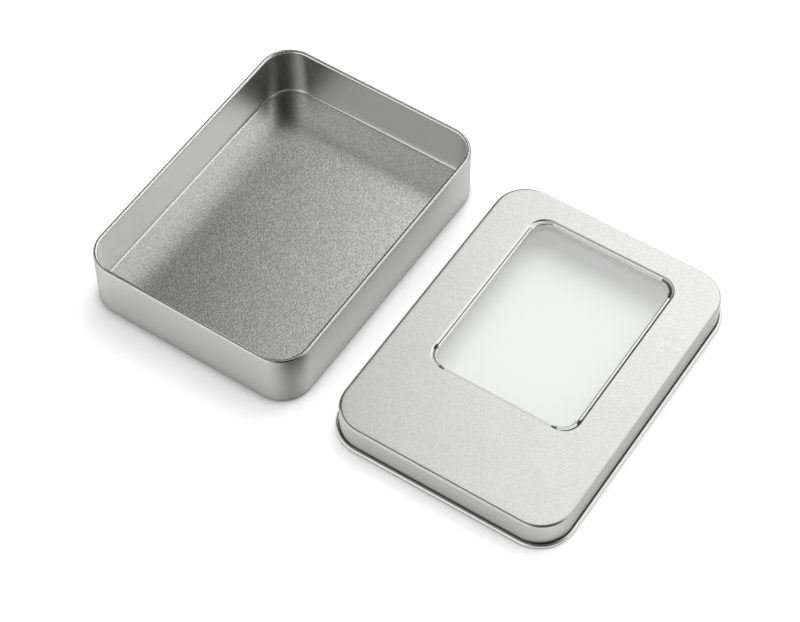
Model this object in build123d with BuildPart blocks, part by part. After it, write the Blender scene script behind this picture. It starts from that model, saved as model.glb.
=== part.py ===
from build123d import *
import os
from math import cos, degrees, radians, sin

# Window lid tin: a drawn tinplate tray and the loose lid that belongs on it.
# The lid lies top up beside the tray, standing on the bead along its skirt.
# Millimetres, +Z up. The origin is the middle of the tray's underside,
# on the table, and the long sides of the tray run along Y.

# Tinplate that both shells are drawn from
sheet = 0.25

# Tray
base_width = 82.0
base_length = 112.0
base_height = 21.7
base_corner = 11.2  # outside corner, in plan
base_bend = 1.2  # outside of the bend between floor and wall
rim_curl = 1.55  # outside diameter of the curl rolled inwards at the rim
curl_turn = 300.0  # how far round a curl is rolled, in degrees

# Lid
lid_clearance = 0.2  # between skirt and tray wall, all round
lid_height = 10.8
lid_bend = 1.0  # outside of the bend between top and skirt
lid_bead = 1.45  # outside diameter of the curl rolled outwards along the skirt

# Where the lid lies
lid_gap = 11.4  # from the tray's wall to the lid's bead
lid_slip = 0.5  # how far the lid lies along the tray
lid_turn = 0.55  # how far the lid is turned, in degrees

# Window in the lid's top, measured where the flat top ends
window_width = 54.3
window_length = 70.0
window_corner = 6.5
window_margin = 8.75  # from the window to the back of the lid

# Edge of the window: a bevel that dips all round, with hems turned under along the
# four straight sides, and at each corner a raw lip that is only turned down
bevel_bend = 2.0  # outside radius of the bend that leads into the bevel
bevel_turn = 35.0  # how steep the bevel is, in degrees
bevel_length = 0.8  # straight part of the bevel
hem_fold = 1.3  # outside diameter of the fold
hem_turn = 180.0  # how far a hem is turned under, in degrees
hem_flange = 3.0  # flat part of a hem that lies back under the top
lip_turn = 84.0  # how far the lip at a corner is turned down, in degrees
relief_gap = 1.8  # cut out between the end of a hem and the lip beside it

# Clear pane and the glue that holds it under the hems
pane_sheet = 0.3
pane_overlap = 3.4  # how far the pane reaches under the top, past the window
pane_corner = 5.0
glue_film = 0.1
glue_inset = 0.3  # from the edges of a hem's flange to the glue on it

# Sizes that follow
lid_width = base_width + 2 * (lid_clearance + sheet)
lid_length = base_length + 2 * (lid_clearance + sheet)
lid_corner = base_corner + lid_clearance + sheet
bead_reach = lid_bead - sheet
bend_line = bevel_bend - sheet / 2
fold_line = (hem_fold - sheet) / 2
bevel_dip = bevel_length * sin(radians(bevel_turn))
bevel_reach = bevel_length * cos(radians(bevel_turn))
fold_inset = (bend_line - fold_line) * sin(radians(bevel_turn)) + bevel_reach
fold_drop = bend_line - (bend_line - fold_line) * cos(radians(bevel_turn)) + bevel_dip
hem_drop = fold_drop + fold_line + sheet
relief_turn = degrees(relief_gap / window_corner)


def shifted(plane, x, y):
    """The same flat plane with its origin moved within it."""
    return Plane(plane.from_local_coords(Vector(x, y, 0)), plane.x_dir, plane.z_dir)


def upright(plane, facing=0.0):
    """Plane that stands on a flat one, with its x axis at an angle in degrees."""
    turned = plane.rotated((0, 0, facing))
    return Plane(plane.origin, turned.x_dir, -turned.y_dir)


lid_middle = base_width / 2 + lid_gap + bead_reach + lid_width / 2
lid_plane = Plane((lid_middle, lid_slip, 0)).rotated((0, 0, lid_turn))
window_middle = lid_length / 2 - window_margin - window_length / 2
window_plane = shifted(lid_plane, 0, window_middle)
top_plane = window_plane.offset(lid_height - sheet / 2)

# The window's sides and corners, each with the angle that it faces in degrees.
# A side has its middle and its straight length, a corner has the middle of its arc.
side_x = window_length - 2 * window_corner
side_y = window_width - 2 * window_corner
window_sides = [
    (0, window_width / 2, 0, side_x),
    (90, 0, window_length / 2, side_y),
    (180, -window_width / 2, 0, side_x),
    (270, 0, -window_length / 2, side_y),
]
window_corners = [
    (0, side_y / 2, side_x / 2),
    (90, -side_y / 2, side_x / 2),
    (180, -side_y / 2, -side_x / 2),
    (270, side_y / 2, -side_x / 2),
]


def quarter_track(plane, width, length, corner):
    """A quarter of a rounded rectangle, from the middle of its right side on."""
    with BuildLine(plane) as track:
        FilletPolyline(
            (width / 2, 0), (width / 2, length / 2), (0, length / 2), radius=corner
        )
    return track.wire()


def window_edge(start, turn=bevel_turn, flange=0.0):
    """Middle line of the sheet from the window's edge on, turned under by an angle."""
    with BuildLine() as edge:
        bend = CenterArc((start, -bend_line), bend_line, 90, bevel_turn)
        Line(bend @ 1, (bend @ 1) + (bend % 1) * bevel_length)
        if turn > bevel_turn:
            fold = CenterArc(
                (start - fold_inset, -fold_drop), fold_line, 90 + bevel_turn, turn - bevel_turn
            )
        if flange:
            Line(fold @ 1, (fold @ 1) + (fold % 1) * flange)
    return edge.line


# Tray: the wall with its curled rim goes round the floor

with BuildPart() as tin_base:
    wall_line = base_width / 2 - sheet / 2
    curl_line = (rim_curl - sheet) / 2
    curl_height = base_height - rim_curl / 2
    with BuildSketch(Plane.XZ):
        with BuildLine():
            CenterArc((base_width / 2 - base_bend, base_bend), base_bend - sheet / 2, 270, 90)
            Line((wall_line, base_bend), (wall_line, curl_height))
            CenterArc((wall_line - curl_line, curl_height), curl_line, 0, curl_turn)
        trace(line_width=sheet)
    sweep(path=quarter_track(Plane.XY, base_width, base_length, base_corner))
    mirror(about=Plane.XZ)
    mirror(about=Plane.YZ)
    with BuildSketch(Plane.XY):
        RectangleRounded(
            base_width - 2 * base_bend, base_length - 2 * base_bend, base_corner - base_bend
        )
    extrude(amount=sheet)
tin_base.part.label = "tin_base"

# Lid: skirt and bead, the flat top with its window, then the window's edge

with BuildPart() as lid_shell:
    skirt_line = lid_width / 2 - sheet / 2
    bead_line = (lid_bead - sheet) / 2
    with BuildSketch(upright(lid_plane)):
        with BuildLine():
            CenterArc(
                (lid_width / 2 - lid_bend, lid_height - lid_bend), lid_bend - sheet / 2, 0, 90
            )
            Line((skirt_line, lid_height - lid_bend), (skirt_line, lid_bead / 2))
            CenterArc((skirt_line + bead_line, lid_bead / 2), bead_line, 180, curl_turn)
        trace(line_width=sheet)
    sweep(path=quarter_track(lid_plane, lid_width, lid_length, lid_corner))
    mirror(about=upright(lid_plane))
    mirror(about=upright(lid_plane, 90))
    with BuildSketch(lid_plane.offset(lid_height)):
        RectangleRounded(
            lid_width - 2 * lid_bend, lid_length - 2 * lid_bend, lid_corner - lid_bend
        )
        with Locations((0, window_middle)):
            RectangleRounded(window_width, window_length, window_corner, mode=Mode.SUBTRACT)
    extrude(amount=-sheet)
    for facing, x, y, straight in window_sides:
        with BuildSketch(upright(shifted(top_plane, x, y), facing)):
            trace(window_edge(0, hem_turn, hem_flange), line_width=sheet)
        extrude(amount=straight / 2, both=True)
    for facing, x, y in window_corners:
        corner_plane = shifted(top_plane, x, y)
        corner_axis = Axis(corner_plane.origin, corner_plane.z_dir)
        with BuildSketch(upright(corner_plane, facing)):
            trace(window_edge(window_corner), line_width=sheet)
        revolve(axis=corner_axis, revolution_arc=90)
        with BuildSketch(upright(corner_plane, facing + relief_turn)):
            trace(window_edge(window_corner, lip_turn), line_width=sheet)
        revolve(axis=corner_axis, revolution_arc=90 - 2 * relief_turn)
lid_shell.part.label = "lid_shell"

# Glue: one film on the underside of each hem's flange

hem_underside = lid_height - hem_drop
with BuildPart() as pane_glue:
    for facing, x, y, straight in window_sides:
        side_plane = shifted(window_plane, x, y).rotated((0, 0, facing))
        with BuildSketch(side_plane.offset(hem_underside)):
            with Locations((hem_flange / 2 - fold_inset, 0)):
                Rectangle(hem_flange - 2 * glue_inset, straight - 2 * glue_inset)
        extrude(amount=-glue_film)
pane_glue.part.label = "pane_glue"

# Pane: flat clear sheet under the glue

pane_top = hem_underside - glue_film
with BuildPart() as window_pane:
    with BuildSketch(window_plane.offset(pane_top)):
        RectangleRounded(
            window_width + 2 * pane_overlap, window_length + 2 * pane_overlap, pane_corner
        )
    extrude(amount=-pane_sheet)
window_pane.part.label = "window_pane"

os.makedirs("parts", exist_ok=True)
export_step(tin_base.part, "parts/tin_base.step")
export_step(lid_shell.part, "parts/lid_shell.step")
export_step(pane_glue.part, "parts/pane_glue.step")
export_step(window_pane.part, "parts/window_pane.step")
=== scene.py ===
import math

import bmesh
import bpy
from mathutils import Matrix, Vector


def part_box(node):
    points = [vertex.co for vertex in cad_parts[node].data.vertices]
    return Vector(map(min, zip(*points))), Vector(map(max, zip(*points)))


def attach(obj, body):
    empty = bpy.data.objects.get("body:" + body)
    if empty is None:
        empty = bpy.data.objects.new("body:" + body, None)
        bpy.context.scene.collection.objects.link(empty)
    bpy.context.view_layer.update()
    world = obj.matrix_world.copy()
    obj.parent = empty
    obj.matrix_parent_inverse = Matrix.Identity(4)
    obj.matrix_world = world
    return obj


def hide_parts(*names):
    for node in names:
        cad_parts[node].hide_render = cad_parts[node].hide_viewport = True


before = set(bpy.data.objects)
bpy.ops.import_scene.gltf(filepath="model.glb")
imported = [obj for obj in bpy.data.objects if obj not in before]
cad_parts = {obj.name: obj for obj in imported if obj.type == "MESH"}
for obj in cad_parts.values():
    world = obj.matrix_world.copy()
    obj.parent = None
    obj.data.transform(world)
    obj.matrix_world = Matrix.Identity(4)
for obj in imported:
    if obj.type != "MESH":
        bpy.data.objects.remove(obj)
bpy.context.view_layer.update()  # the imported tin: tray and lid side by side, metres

mm = 0.001
print("tin: frame loaded")


# Camera, placed by a perspective fit to the straight edges of the tray and the lid

camera = {
    "azimuth": 33.76,  # degrees
    "elevation": 54.03,
    "roll": -0.11,
    "target": (47.445, -3.805, 0.0),  # mm
    "distance": 815.98,  # mm
    "focalPixels": 2513.4,
    "imageWidth": 800,
    "sensor": 36.0,  # mm
    "clip": (0.05, 20.0),  # m
}


def placeCamera():
    azimuth, elevation, roll = (math.radians(camera[k]) for k in ("azimuth", "elevation", "roll"))
    back = Vector((
        math.sin(azimuth) * math.cos(elevation),
        -math.cos(azimuth) * math.cos(elevation),
        math.sin(elevation),
    ))
    level = Vector((math.cos(azimuth), math.sin(azimuth), 0))
    upright = back.cross(level)
    right = math.cos(roll) * level + math.sin(roll) * upright
    up = math.cos(roll) * upright - math.sin(roll) * level
    data = bpy.data.cameras.new("studioCamera")
    data.sensor_width = camera["sensor"]
    data.lens = camera["focalPixels"] * camera["sensor"] / camera["imageWidth"]
    data.clip_start, data.clip_end = camera["clip"]
    viewer = bpy.data.objects.new("studioCamera", data)
    bpy.context.scene.collection.objects.link(viewer)
    place = Matrix((right, up, back)).transposed().to_4x4()
    place.translation = (Vector(camera["target"]) + back * camera["distance"]) * mm
    viewer.matrix_world = place
    bpy.context.scene.camera = viewer


placeCamera()
print("tin: camera placed")


# Shader maths: a wire wraps a socket, and each operator on it adds one Math node

def plug(socket, value):
    if isinstance(value, Wire):
        socket.id_data.links.new(value.socket, socket)
    else:
        socket.default_value = value


class Wire:
    def __init__(self, socket):
        self.socket = socket

    def calculate(self, operation, first, second):
        node = self.socket.id_data.nodes.new("ShaderNodeMath")
        node.operation = operation
        plug(node.inputs[0], first)
        plug(node.inputs[1], second)
        return Wire(node.outputs[0])

    def __add__(self, other):
        return self.calculate("ADD", self, other)

    def __radd__(self, other):
        return self.calculate("ADD", other, self)

    def __sub__(self, other):
        return self.calculate("SUBTRACT", self, other)

    def __rsub__(self, other):
        return self.calculate("SUBTRACT", other, self)

    def __mul__(self, other):
        return self.calculate("MULTIPLY", self, other)

    def __rmul__(self, other):
        return self.calculate("MULTIPLY", other, self)

    def __truediv__(self, other):
        return self.calculate("DIVIDE", self, other)

    def __rtruediv__(self, other):
        return self.calculate("DIVIDE", other, self)


class NodeBoard:
    def __init__(self, owner):
        owner.use_nodes = True
        self.tree = owner.node_tree
        self.tree.nodes.clear()

    # any node: its type, its settings, the values or wires of its sockets, and the output wanted
    def add(self, kind, settings=(), sockets=(), out=None):
        node = self.tree.nodes.new(kind)
        for key, value in dict(settings).items():
            setattr(node, key, value)
        live = [s for s in node.inputs if s.enabled]
        for key, value in dict(sockets).items():
            plug(live[key] if isinstance(key, int) else next(s for s in live if s.name == key), value)
        ends = [s for s in node.outputs if s.enabled]
        return Wire(next((s for s in ends if s.name == out), ends[0])) if ends else None

    def ramp(self, value, low, high):
        return self.add(
            "ShaderNodeMapRange",
            {"interpolation_type": "SMOOTHSTEP"},
            {"Value": value, "From Min": low, "From Max": high},
        )

    def noise(self, place, size, detail, rough):
        return self.add(
            "ShaderNodeTexNoise",
            {},
            {"Vector": place, "Scale": 1 / (size * mm), "Detail": detail, "Roughness": rough},
        )

    def mix(self, factor, first, second):
        return self.add("ShaderNodeMix", {"data_type": "RGBA"}, {"Factor": factor, "A": first, "B": second})

    def dot(self, first, second):
        settings = {"operation": "DOT_PRODUCT"}
        return self.add("ShaderNodeVectorMath", settings, {0: first, 1: second}, "Value")


# Finishes

tinplate = {
    "roughness": 0.20,
    "wallRoughness": 0.30,
    "cloudRoughness": 0.04,  # what the clouds add to both
    # size in mm, detail and roughness of the noise: fine grain, and the broad unevenness of the tin coat
    "grainNoise": (0.46, 1.0, 0.5),
    "cloudNoise": (16.0, 2.0, 0.5),
    "wallGrain": 0.12,  # share of the grain that is left on drawn walls
    "pitRange": (0.3, 0.7),  # grain heights between which the pit tone comes on
    # how level the metal lies, 0 on a wall and 1 on a flat, between which one turns into the other
    "flatRange": (0.5, 0.97),
    "wallToBend": (0.05, 0.3),
    "bendToFlat": (0.93, 0.995),
    "notchShadeRange": (0.2, 0.55),  # nearness to a notch between which the painted shade comes on
    # painted shade round the front notches, near black
    "notchShadeColour": (0.08, 0.08, 0.08, 1),
}


def paintTinplate(name, look, tone):
    material = bpy.data.materials.new(name)
    board = NodeBoard(material)
    place = board.add("ShaderNodeTexCoord", out="Object")
    normal = board.add("ShaderNodeNewGeometry", out="Normal")
    lift = board.add("ShaderNodeMath", {"operation": "ABSOLUTE"}, {0: board.dot(normal, (0, 0, 1))})
    flat = board.ramp(lift, *look["flatRange"])
    bent = board.ramp(lift, *look["wallToBend"]) * (1 - board.ramp(lift, *look["bendToFlat"]))
    outside, cornerReflectionShare, longSideShade, notchShade = (
        board.add("ShaderNodeAttribute", {"attribute_name": mark}, {}, "Fac")
        for mark in ("outside", "cornerReflectionShare", "longSideShade", "notchShade")
    )
    grain = board.noise(place, *look["grainNoise"])
    cloud = board.noise(place, *look["cloudNoise"])
    grainShare = look["wallGrain"] + flat * (1 - look["wallGrain"])
    bump = board.add(
        "ShaderNodeBump",
        {},
        {"Strength": 1.0, "Distance": tone["grainHeight"] * mm, "Height": grain * grainShare},
    )
    plate = board.mix(cloud, tone["dull"], tone["bright"])
    plate = board.mix(board.ramp(grain, *look["pitRange"]) * grainShare, plate, tone["pit"])
    # painted shade round the front notches of the window
    plate = board.mix(board.ramp(notchShade, *look["notchShadeRange"]), plate, look["notchShadeColour"])
    # darker outside walls: partly a duller drawn finish, partly painted shade for the dimmer table they
    # mirror; the long sides get more painted shade
    wall = board.mix(longSideShade, tone["dullShadedEnd"], tone["dullShadedSide"])
    # painted reflection round the corners: a dark band on the tray, a lighter one on the lid, strongest
    # near the rim
    wall = board.mix(cornerReflectionShare, wall, tone["paintedCornerReflection"])
    smooth = look["wallRoughness"] + flat * (look["roughness"] - look["wallRoughness"])
    smooth = smooth + cloud * look["cloudRoughness"] - bent * tone["bendPolish"]
    shader = board.add(
        "ShaderNodeBsdfPrincipled",
        {},
        {
            "Base Color": board.mix(outside, plate, wall),
            "Metallic": 1.0,
            "Roughness": smooth,
            "Normal": bump,
        },
    )
    board.add("ShaderNodeOutputMaterial", {}, {"Surface": shader})
    return material


clearSheet = {
    "tint": (0.91, 0.915, 0.91, 1),
    "straightShine": 0.045,  # share that is mirrored when looked at straight on
    "gloss": 0.03,
}


def paintPane(name, look):
    material = bpy.data.materials.new(name)
    board = NodeBoard(material)
    shine = board.add("ShaderNodeBsdfGlossy", {}, {"Roughness": look["gloss"], "Color": (1, 1, 1, 1)})
    clear = board.add("ShaderNodeBsdfTransparent", {}, {"Color": look["tint"]})
    slant = board.add("ShaderNodeLayerWeight", out="Facing")
    # the same from both faces of the sheet: the shine grows with the fifth power of the slant
    share = look["straightShine"] + (1 - look["straightShine"]) * (slant * slant * slant * slant * slant)
    both = board.add("ShaderNodeMixShader", {}, {0: share, 1: clear, 2: shine})
    board.add("ShaderNodeOutputMaterial", {}, {"Surface": both})
    return material


clearGlue = {
    "thin": (0.80, 0.80, 0.74, 1),
    "thick": (0.90, 0.90, 0.86, 1),
    "smearNoise": (2.5, 3.0, 0.6),  # size in mm, detail and roughness of the noise
    "roughness": 0.25,
    "smearRoughness": 0.2,  # what the smears add
    "cover": 0.45,
    "smearCover": 0.3,
}


def paintGlue(name, look):
    material = bpy.data.materials.new(name)
    board = NodeBoard(material)
    place = board.add("ShaderNodeTexCoord", out="Object")
    smear = board.noise(place, *look["smearNoise"])
    shader = board.add(
        "ShaderNodeBsdfPrincipled",
        {},
        {
            "Base Color": board.mix(smear, look["thin"], look["thick"]),
            "Roughness": look["roughness"] + smear * look["smearRoughness"],
            "Alpha": look["cover"] + smear * look["smearCover"],
        },
    )
    board.add("ShaderNodeOutputMaterial", {}, {"Surface": shader})
    return material


# Sheet metal: rings of points round a rounded rectangle, joined by faces, then given their thickness

def trackRound(halfX, halfY, corner, turns, sideSteps, trim=0):
    # (x, y, outward x, outward y) all the way round, from the start of the back right corner on;
    # with a trim, the points on each side begin and end that far from its corners
    points = []
    middles = [(1, 1), (-1, 1), (-1, -1), (1, -1)]
    for number, (signX, signY) in enumerate(middles):
        centre = Vector((signX * (halfX - corner), signY * (halfY - corner)))
        for turn in turns:
            angle = math.radians(90 * number + turn)
            out = Vector((math.cos(angle), math.sin(angle)))
            points.append((*(centre + corner * out), *out))
        nextX, nextY = middles[(number + 1) % 4]
        nextCentre = Vector((nextX * (halfX - corner), nextY * (halfY - corner)))
        angle = math.radians(90 * number + 90)
        out = Vector((math.cos(angle), math.sin(angle)))
        straight = (nextCentre - centre).length
        for step in range(0 if trim else 1, sideSteps + (1 if trim else 0)):
            share = (trim + (straight - 2 * trim) * step / sideSteps) / straight
            points.append((*(centre.lerp(nextCentre, share) + corner * out), *out))
    return points


def arcProfile(centre, radius, start, turn, steps):
    # points of an arc in a section, angles from the direction away from the middle of the tin
    return [
        (
            centre[0] + radius * math.cos(math.radians(start + turn * k / steps)),
            centre[1] + radius * math.sin(math.radians(start + turn * k / steps)),
        )
        for k in range(steps + 1)
    ]


def bentProfile(start, heading, moves):
    # a section that goes on from a point, with 180 degrees as the heading towards the middle:
    # each move is a length or a radius, the turn to the left in degrees, and the faces across it
    points, place = [], Vector(start)
    for length, turn, steps in moves:
        for _ in range(steps):
            heading += turn / steps / 2
            chord = 2 * length * math.sin(math.radians(abs(turn) / steps / 2)) if turn else length / steps
            slope = math.radians(heading)
            place = place + chord * Vector((math.cos(slope), math.sin(slope)))
            heading += turn / steps / 2
            points.append(tuple(place))
    return points


def lineProfile(start, end, steps):
    return [
        (start[0] + (end[0] - start[0]) * k / steps, start[1] + (end[1] - start[1]) * k / steps)
        for k in range(1, steps + 1)
    ]


def addRing(mesh, track, out, height):
    return [mesh.verts.new(Vector((x + nx * out, y + ny * out, height)) * mm) for x, y, nx, ny in track]


def joinRings(mesh, first, second, closed=True):
    count = len(first)
    for k in range(count if closed else count - 1):
        j = (k + 1) % count
        mesh.faces.new((first[k], first[j], second[j], second[k]))


def sweepProfile(mesh, track, profile, ring, closed=True):
    for out, height in profile:
        following = addRing(mesh, track, out, height)
        joinRings(mesh, ring, following, closed)
        ring = following
    return ring


def linkMesh(mesh, name):
    bmesh.ops.recalc_face_normals(mesh, faces=mesh.faces)
    data = bpy.data.meshes.new(name)
    mesh.to_mesh(data)
    mesh.free()
    piece = bpy.data.objects.new(name, data)
    bpy.context.scene.collection.objects.link(piece)
    return piece


def thicken(piece, thickness):
    # the middle of the sheet becomes a closed sheet of metal
    solid = piece.modifiers.new("sheet", "SOLIDIFY")
    solid.thickness = thickness * mm
    solid.offset = 0
    solid.use_even_offset = True
    solid.use_quality_normals = True
    thick = bpy.data.meshes.new_from_object(piece.evaluated_get(bpy.context.evaluated_depsgraph_get()))
    piece.modifiers.clear()
    piece.data = thick
    thick.name = piece.name


wallShading = {
    "endShare": 0.3,  # how much of the corner's painted reflection shows beside a short end of the tin
    "sideShare": 1.1,  # and how much more beside a long side
    "footShare": 0.5,  # share of it at the foot of the wall, which grows to the whole at the top
    "least": 0.001,  # mm, a point nearer than this to the flat middle faces no side
}


def markWallShading(data, halfX, halfY, corner, low):
    # where the outside of a drawn wall is, for its darker tone, partly a duller drawn finish and partly
    # painted shade; how far it goes round a corner, for the painted corner reflection; and how far it faces
    # sideways, for more painted shade on the long sides
    outside = data.attributes.new("outside", "FLOAT", "POINT")
    cornerReflectionShare = data.attributes.new("cornerReflectionShare", "FLOAT", "POINT")
    longSideShade = data.attributes.new("longSideShade", "FLOAT", "POINT")
    coreX, coreY = (halfX - corner) * mm, (halfY - corner) * mm
    highest = max(vertex.co.z for vertex in data.vertices)
    marks = zip(data.vertices, outside.data, cornerReflectionShare.data, longSideShade.data)
    for vertex, facing, turned, lengthwise in marks:
        away = Vector((
            vertex.co.x - max(-coreX, min(vertex.co.x, coreX)),
            vertex.co.y - max(-coreY, min(vertex.co.y, coreY)),
        ))
        if away.length > wallShading["least"] * mm and vertex.co.z >= low * mm:
            away.normalize()
            facing.value = max(0.0, vertex.normal.x * away.x + vertex.normal.y * away.y)
            skew = wallShading["endShare"] + wallShading["sideShare"] * away.x ** 2
            climb = wallShading["footShare"] + (1 - wallShading["footShare"]) * (vertex.co.z / highest) ** 2
            # share of the painted corner reflection: most at the middle of a corner, growing towards the
            # rim
            turned.value = min(1.0, (2 * away.x * away.y) ** 2 * skew * climb)
            lengthwise.value = away.x ** 2


def markNotchShade(data, notches, reach, top):
    # painted shade round each notch, below the flat top
    notchShade = data.attributes.new("notchShade", "FLOAT", "POINT")
    for vertex, notchDarkness in zip(data.vertices, notchShade.data):
        if vertex.co.z < top * mm:
            nearest = min(math.hypot(vertex.co.x / mm - x, vertex.co.y / mm - y) for x, y in notches)
            notchDarkness.value = max(0.0, 1 - nearest / (2 * reach))


smoothing = {
    "sharpAngle": 40,  # degrees, edges that turn more than this stay crisp
    "flatWeight": 80,  # how much the large faces lead the shading of the bends beside them
}


def finishPiece(piece, material, body, node):
    data = piece.data
    data.materials.clear()
    data.materials.append(material)
    data.shade_smooth()
    data.set_sharp_from_angle(angle=math.radians(smoothing["sharpAngle"]))
    weights = piece.modifiers.new("flatFaces", "WEIGHTED_NORMAL")
    weights.keep_sharp = True
    weights.weight = smoothing["flatWeight"]
    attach(piece, body)
    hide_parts(node)


# Tray, in mm and degrees

trayLow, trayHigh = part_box("tin_base")
tray = {
    "width": (trayHigh.x - trayLow.x) / mm,
    "length": (trayHigh.y - trayLow.y) / mm,
    "height": trayHigh.z / mm,
    "sheet": 0.25,
    "corner": 11.2,
    "bend": 1.2,
    "curl": 1.55,
    "curlTurn": 300,
    "cornerSteps": 24,
    "sideSteps": 30,
    "bendSteps": 10,
    "wallSteps": 6,
    "curlSteps": 30,
    "floorInsets": [1, 3, 7, 13, 21, 29, 36],  # rings of points on the floor, from its bend inwards
    "tone": {
        "bright": (0.78, 0.78, 0.77, 1),
        "dull": (0.72, 0.72, 0.71, 1),
        "pit": (0.52, 0.52, 0.51, 1),
        # outside walls: partly a duller drawn finish, partly painted shade, more of it on the long sides
        "dullShadedEnd": (0.50, 0.50, 0.495, 1),
        "dullShadedSide": (0.44, 0.44, 0.435, 1),
        # painted dark reflection in the tray's corners
        "paintedCornerReflection": (0.05, 0.05, 0.05, 1),
        "grainHeight": 0.022,  # mm
        "bendPolish": 0.10,  # how much smoother the bends and curls are
    },
}


def makeTray():
    sheet, bend = tray["sheet"], tray["bend"]
    halfX, halfY = tray["width"] / 2, tray["length"] / 2
    turns = [90 * k / tray["cornerSteps"] for k in range(tray["cornerSteps"] + 1)]
    track = trackRound(halfX, halfY, tray["corner"], turns, tray["sideSteps"])
    mesh = bmesh.new()
    # floor, as rings that shrink towards the middle
    rings = []
    for inset in [bend] + [bend + more for more in tray["floorInsets"]]:
        corner = max(tray["corner"] - inset, sheet)
        floorTrack = trackRound(halfX - inset, halfY - inset, corner, turns, tray["sideSteps"])
        rings.append(addRing(mesh, floorTrack, 0, sheet / 2))
    for outer, inner in zip(rings, rings[1:]):
        joinRings(mesh, outer, inner)
    mesh.faces.new(rings[-1])
    curlLine = (tray["curl"] - sheet) / 2
    curlHeight = tray["height"] - tray["curl"] / 2
    curlCentre = (-sheet / 2 - curlLine, curlHeight)
    profile = arcProfile((-bend, bend), bend - sheet / 2, 270, 90, tray["bendSteps"])[1:]
    profile += lineProfile((-sheet / 2, bend), (-sheet / 2, curlHeight), tray["wallSteps"])
    profile += arcProfile(curlCentre, curlLine, 0, tray["curlTurn"], tray["curlSteps"])[1:]
    sweepProfile(mesh, track, profile, rings[0])
    piece = linkMesh(mesh, "drawnTray")
    thicken(piece, sheet)
    markWallShading(piece.data, halfX, halfY, tray["corner"], 0)
    material = paintTinplate("trayTinplate", tinplate, tray["tone"])
    finishPiece(piece, material, "tray", "tin_base")


# Lid, in mm and degrees

lidLow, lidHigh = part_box("lid_shell")
lid = {
    "clearance": 0.2,
    "height": lidHigh.z / mm,
    "bend": 1.0,
    "bead": 1.45,
    "beadTurn": 284.0,  # the bead stops short, and leaves a dark crevice below the skirt
    "turn": 0.55,  # how far the lid lies turned beside the tray
    "windowWidth": 54.3,
    "windowLength": 70.0,
    "windowCorner": 6.5,
    "windowMargin": 8.75,
    "stepBend": 0.5,  # both bends of the step that goes round the window
    "stepTurn": 40.0,
    "stepLength": 0.15,
    # hems at the back, left, front and right: how steeply the land inside the step rises, how long
    # it is, and the radius of both bends, where the hem turns down and where it turns under
    "hems": [(12, 0.36, 0.30), (12, 0.20, 0.50), (3, 0.36, 0.26), (12, 0.40, 0.24)],
    "flange": 2.8,
    "lipLand": 0.85,
    "lipRises": [-14, -10, 4, 4],  # the same at the lips: back right, back left, front left, front right
    "lipBend": 0.3,
    "lipTurn": 84.0,
    "reliefGap": 0.3,  # from a hem's end to the lip beside it
    "notchInset": 0.6,  # how far the painted shade reaches round a notch
    "notchReach": 0.8,  # how far the raw steel shows round a notch
    "sideSteps": 30,
    "lipSteps": 16,
    "bendSteps": 10,
    "skirtSteps": 4,
    "beadSteps": 30,
    # faces across each stretch of the window's edge
    "faces": {
        "stepBend": 6, "step": 1, "landBend": 3, "land": 2, "lipBend": 8,
        "foldBend": 10, "drop": 2, "underBend": 8, "flange": 3,
    },
    "topShares": [0, 0.06, 0.2, 0.4, 0.6, 0.8, 0.94, 1],  # rings on the top, from its bend to the window
    "tone": {
        "bright": (0.74, 0.74, 0.73, 1),
        "dull": (0.71, 0.71, 0.70, 1),
        "pit": (0.66, 0.66, 0.65, 1),
        # outside of the skirt: partly a duller drawn finish, partly painted shade, more of it on the long
        # sides
        "dullShadedEnd": (0.47, 0.47, 0.465, 1),
        "dullShadedSide": (0.36, 0.36, 0.355, 1),
        # painted lighter reflection round the lid's corners
        "paintedCornerReflection": (0.50, 0.50, 0.495, 1),
        "grainHeight": 0.005,  # mm
        "bendPolish": 0.03,
    },
}
lidMiddle = (lidLow + lidHigh) / 2
lidTurned = Matrix.Rotation(math.radians(lid["turn"]), 4, "Z")
lidPlace = Matrix.Translation((lidMiddle.x, lidMiddle.y, 0)) @ lidTurned
lidHalfX = tray["width"] / 2 + lid["clearance"] + tray["sheet"]
lidHalfY = tray["length"] / 2 + lid["clearance"] + tray["sheet"]
windowY = lidHalfY - lid["windowMargin"] - lid["windowLength"] / 2


def windowTrack(turns, steps, wider=0.0, corner=lid["windowCorner"], trim=0):
    track = trackRound(
        lid["windowWidth"] / 2 + wider, lid["windowLength"] / 2 + wider, corner, turns, steps, trim
    )
    return [(x, y + windowY, nx, ny) for x, y, nx, ny in track]


def stepProfile():
    # from the flat top down the step, to the bottom of it
    bend, turn, faces = lid["stepBend"], lid["stepTurn"], lid["faces"]
    moves = [(bend, turn, faces["stepBend"]), (lid["stepLength"], 0, faces["step"])]
    moves.append((bend, -turn, faces["stepBend"]))
    return bentProfile((0, lid["height"] - tray["sheet"] / 2), 180, moves)


def landMoves(length, rise):
    return [(lid["stepBend"], -rise, lid["faces"]["landBend"]), (length, 0, lid["faces"]["land"])]


def hemProfile(rise, land, fold):
    # from the bottom of the step over the land, down, and turned under to lie on the glue
    moves = landMoves(land, rise)
    landEnd = bentProfile(stepProfile()[-1], 180, moves)[-1]
    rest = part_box("pane_glue")[1].z / mm + tray["sheet"] / 2
    drop = landEnd[1] - rest - fold * (1 + math.cos(math.radians(rise)))
    faces = lid["faces"]
    moves += [(fold, 90 + rise, faces["foldBend"]), (drop, 0, faces["drop"])]
    moves += [(fold, 90, faces["underBend"]), (lid["flange"], 0, faces["flange"])]
    return bentProfile(stepProfile()[-1], 180, moves)


def lipProfile(rise):
    moves = landMoves(lid["lipLand"], rise)
    moves.append((lid["lipBend"], rise + lid["lipTurn"], lid["faces"]["lipBend"]))
    return bentProfile(stepProfile()[-1], 180, moves)


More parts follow.
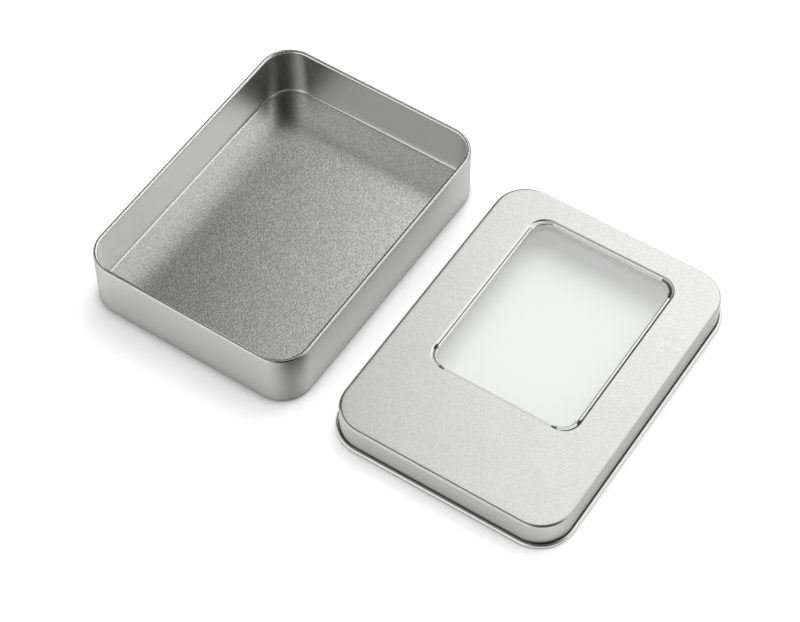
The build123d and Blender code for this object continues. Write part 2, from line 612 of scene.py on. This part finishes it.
def makeLid():
    sheet, bend, bead, steps = tray["sheet"], lid["bend"], lid["bead"], lid["sideSteps"]
    corner = tray["corner"] + lid["clearance"] + sheet
    trim = lid["reliefGap"] / 2
    relief = math.degrees(trim / lid["windowCorner"])
    lipSteps = lid["lipSteps"]
    turns = [relief + (90 - 2 * relief) * k / lipSteps for k in range(lipSteps + 1)]
    turns = [0] + turns + [90]
    track = trackRound(lidHalfX, lidHalfY, corner, turns, steps, trim)
    flatTrack = trackRound(lidHalfX - bend, lidHalfY - bend, corner - bend, turns, steps, trim)
    window = windowTrack(turns, steps, trim=trim)
    top = lid["height"] - sheet / 2
    mesh = bmesh.new()
    # flat top, as rings that pass from the lid's outline to the window's
    rings = []
    for share in lid["topShares"]:
        mixed = [
            tuple(a + (b - a) * share for a, b in zip(outer, inner))
            for outer, inner in zip(flatTrack, window)
        ]
        rings.append(addRing(mesh, mixed, 0, top))
    for outer, inner in zip(rings, rings[1:]):
        joinRings(mesh, outer, inner)
    # bend, skirt and bead
    beadLine = (bead - sheet) / 2
    bendCentre, beadCentre = (-bend, lid["height"] - bend), (-sheet / 2 + beadLine, bead / 2)
    profile = arcProfile(bendCentre, bend - sheet / 2, 90, -90, lid["bendSteps"])[1:]
    profile += lineProfile((-sheet / 2, lid["height"] - bend), (-sheet / 2, bead), lid["skirtSteps"])
    profile.append((-sheet / 2, bead / 2))
    profile += arcProfile(beadCentre, beadLine, 180, lid["beadTurn"], lid["beadSteps"])[1:]
    sweepProfile(mesh, track, profile, rings[0])
    # the window's step all round, then hems along the straights and raw lips round the corners
    foot = sweepProfile(mesh, window, stepProfile(), rings[-1])
    for number in range(4):
        start = number * (len(turns) + steps + 1)
        straight = [start + len(turns) + k for k in range(steps + 1)]
        bowed = [start + 1 + k for k in range(lipSteps + 1)]
        hem, lip = hemProfile(*lid["hems"][number]), lipProfile(lid["lipRises"][number])
        for chosen, profile in ((straight, hem), (bowed, lip)):
            part, ring = [window[k] for k in chosen], [foot[k] for k in chosen]
            sweepProfile(mesh, part, profile, ring, False)
    piece = linkMesh(mesh, "drawnLid")
    thicken(piece, sheet)
    markWallShading(piece.data, lidHalfX, lidHalfY, corner, bead)
    # only the notches at the window's two front corners get the painted shade
    inset = lid["notchInset"]
    notches = [(x - inset * nx, y - inset * ny) for x, y, nx, ny in windowTrack([0, 90], 1)]
    markNotchShade(piece.data, [(x, y) for x, y in notches if y < windowY], lid["notchReach"], top)
    piece.data.transform(lidPlace)
    material = paintTinplate("lidTinplate", tinplate, lid["tone"])
    finishPiece(piece, material, "lid", "lid_shell")


# Pane, in mm, and the glue that holds it

pane = {
    "overlap": 3.4,
    "corner": 5.0,
    "trim": 0.04,  # the soft edge all round
    "cornerSteps": 10,
    "sideSteps": 12,
}


def makePane():
    low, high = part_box("window_pane")
    turns = [90 * k / pane["cornerSteps"] for k in range(pane["cornerSteps"] + 1)]
    track = windowTrack(turns, pane["sideSteps"], pane["overlap"], pane["corner"])
    trim, bottom, top = pane["trim"], low.z / mm, high.z / mm
    mesh = bmesh.new()
    first = addRing(mesh, track, -trim, bottom)
    mesh.faces.new(list(reversed(first)))
    last = sweepProfile(mesh, track, [(0, bottom + trim), (0, top - trim), (-trim, top)], first)
    mesh.faces.new(last)
    piece = linkMesh(mesh, "windowSheet")
    piece.data.transform(lidPlace)
    finishPiece(piece, paintPane("clearPane", clearSheet), "lid", "window_pane")


def dressGlue():
    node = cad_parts["pane_glue"]
    node.data.materials.clear()
    node.data.materials.append(paintGlue("clearGlue", clearGlue))


makeTray()
print("tin: tray made")
makeLid()
print("tin: lid made")
makePane()
dressGlue()
print("tin: pane and glue made")


# Studio: pale table, a dim room with two large soft banks of light, and a soft key for the table

studio = {
    "tableColour": (0.82, 0.82, 0.82, 1),
    "tableGlow": (0.36, 0.36, 0.36, 1),
    "tableRoughness": 0.9,
    "tableSize": 6.0,  # m
    "tableSquares": 8,
    "nook": 4.5,  # mm, how far the table's glow is dimmed beside the metal
    "nookRange": (0.3, 0.9),  # open share of the sky between which the glow comes on
    "nookSamples": 12,
    "room": 0.03,  # radiance all over
    "horizon": 0.30,  # radiance of the low light
    "horizonTilt": (0.1, -0.25, 0),  # the low light grows this way
    "horizonHeights": (0.1, 0.55),  # between which the low light ends
    "lowest": 0.05,  # a lower height counts as this one
    # each edge of a bank: a way across the sky, and the slopes that way between which the light comes on;
    # each fade: the share left at the horizon, and the heights between which it grows to the whole
    "backBank": {
        "radiance": 1.56,
        "edges": [((1.0, 0.35, 0), -0.275, -0.21), ((0, 1.0, 0), -0.2, 0.4), ((0, 1.0, 0), -0.5, 1.1)],
        "fades": [(0.67, 0.1, 0.8), (0.3, 0.05, 0.4)],
    },
    "frontBank": {
        "radiance": 1.20,
        "edges": [((-0.47, -1.0, 0), -0.3, 2.1), ((-1.0, -0.23, 0), -0.6, 0.35)],
        "fades": [(0.72, 0.2, 0.6)],
    },
    "key": {"level": 0.57, "angle": 60, "from": (-0.06, 0.5, 1.0)},  # the angle in degrees
}


def makeTable():
    material = bpy.data.materials.new("paleTable")
    board = NodeBoard(material)
    seen = board.add("ShaderNodeLightPath", out="Is Camera Ray")
    for ray in ("Is Glossy Ray", "Is Transmission Ray"):
        seen = seen + board.add("ShaderNodeLightPath", out=ray)
    sky = board.add(
        "ShaderNodeAmbientOcclusion",
        {"samples": studio["nookSamples"]},
        {"Distance": studio["nook"] * mm},
        "AO",
    )
    glowing = seen * board.ramp(sky, *studio["nookRange"])
    shader = board.add(
        "ShaderNodeBsdfPrincipled",
        {},
        {
            "Base Color": studio["tableColour"],
            "Roughness": studio["tableRoughness"],
            "Specular IOR Level": 0.0,
            "Emission Color": board.mix(glowing, (0, 0, 0, 1), studio["tableGlow"]),
            "Emission Strength": 1.0,
        },
    )
    board.add("ShaderNodeOutputMaterial", {}, {"Surface": shader})
    mesh = bmesh.new()
    squares = studio["tableSquares"]
    bmesh.ops.create_grid(mesh, x_segments=squares, y_segments=squares, size=studio["tableSize"] / 2)
    table = linkMesh(mesh, "paleTable")
    table.data.materials.append(material)


def hangKey(look):
    # the metal doesn't mirror this lamp: it lights the table and throws the soft shadows
    data = bpy.data.lights.new("softKey", "SUN")
    data.angle = math.radians(look["angle"])
    data.energy = look["level"] * math.pi
    key = bpy.data.objects.new("softKey", data)
    bpy.context.scene.collection.objects.link(key)
    key.rotation_euler = Vector([-c for c in look["from"]]).to_track_quat("-Z", "Y").to_euler()
    key.visible_glossy = False
    key.visible_camera = False


def bankGlow(board, way, height, look):
    glow = look["radiance"]
    for across, dark, lit in look["edges"]:
        glow = glow * board.ramp(board.dot(way, across) / height, dark, lit)
    for left, low, high in look["fades"]:
        glow = glow * (left + board.ramp(height, low, high) * (1 - left))
    return glow


def paintRoom():
    world = bpy.data.worlds.new("dimRoom")
    bpy.context.scene.world = world
    board = NodeBoard(world)
    way = board.add("ShaderNodeTexCoord", out="Generated")
    rise = board.dot(way, (0, 0, 1))
    height = board.add("ShaderNodeMath", {"operation": "MAXIMUM"}, {0: rise, 1: studio["lowest"]})
    low = 1 - board.ramp(height, *studio["horizonHeights"])
    glow = bankGlow(board, way, height, studio["backBank"])
    glow = glow + bankGlow(board, way, height, studio["frontBank"])
    glow = glow + low * (board.dot(way, studio["horizonTilt"]) + studio["horizon"]) + studio["room"]
    light = board.add("ShaderNodeBackground", {}, {"Color": glow, "Strength": 1.0})
    board.add("ShaderNodeOutputWorld", {}, {"Surface": light})


makeTable()
hangKey(studio["key"])
paintRoom()
bpy.context.scene.view_settings.view_transform = "Standard"
print("tin: studio lit")
